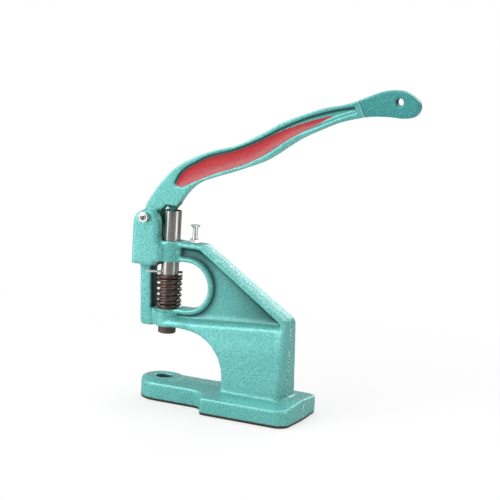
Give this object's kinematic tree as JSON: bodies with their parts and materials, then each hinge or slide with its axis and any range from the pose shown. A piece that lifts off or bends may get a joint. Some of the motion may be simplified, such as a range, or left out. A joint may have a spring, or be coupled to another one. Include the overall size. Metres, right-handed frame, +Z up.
{
  "type": "eyelet press",
  "caption": "Hand-operated bench press for setting eyelets: cast frame with a deep throat, long lever, sprung ram with a punch socket, and a die socket in the base.",
  "frame": {"origin": "on the floor, on the axis of the ram and of the die socket", "axes": "+X towards the back of the base and the lever's handle, +Z up along the ram, Y across the press"},
  "size_m": [0.2891, 0.086, 0.3329],
  "materials": {
    "painted_casting": "gloss hammered paint",
    "ground_steel": "turned",
    "spring_steel": "satin",
    "zinc_plate": "bright zinc plate"
  },
  "bodies": {
    "frame": {"frame_casting": "painted_casting", "pivot_bolt": "zinc_plate", "pivot_nut": "zinc_plate", "stop_screw": "zinc_plate", "stop_lock_nut": "zinc_plate", "return_spring": "spring_steel"},
    "lever": {"lever_handle": "painted_casting"},
    "ram": {"ram": "ground_steel", "guide_pin": "zinc_plate"}
  },
  "joints": [
    {"name": "lever_pivot", "type": "hinge", "parent": "frame", "child": "lever", "pos_m": [-0.0215, 0, 0.186], "axis": [0, 1, 0], "range_deg": [0, 41], "stiffness_Nm_per_rad": 2.1, "springref_deg": -26.93},
    {"name": "ram_slide", "type": "slide", "parent": "frame", "child": "ram", "axis": [0, 0, -1], "range_m": [0, 0.0166], "deforming": ["return_spring"]}
  ],
  "couplings": [
    {"joint": "ram_slide", "follows": "lever_pivot", "m_per_rad": 0.023}
  ]
}
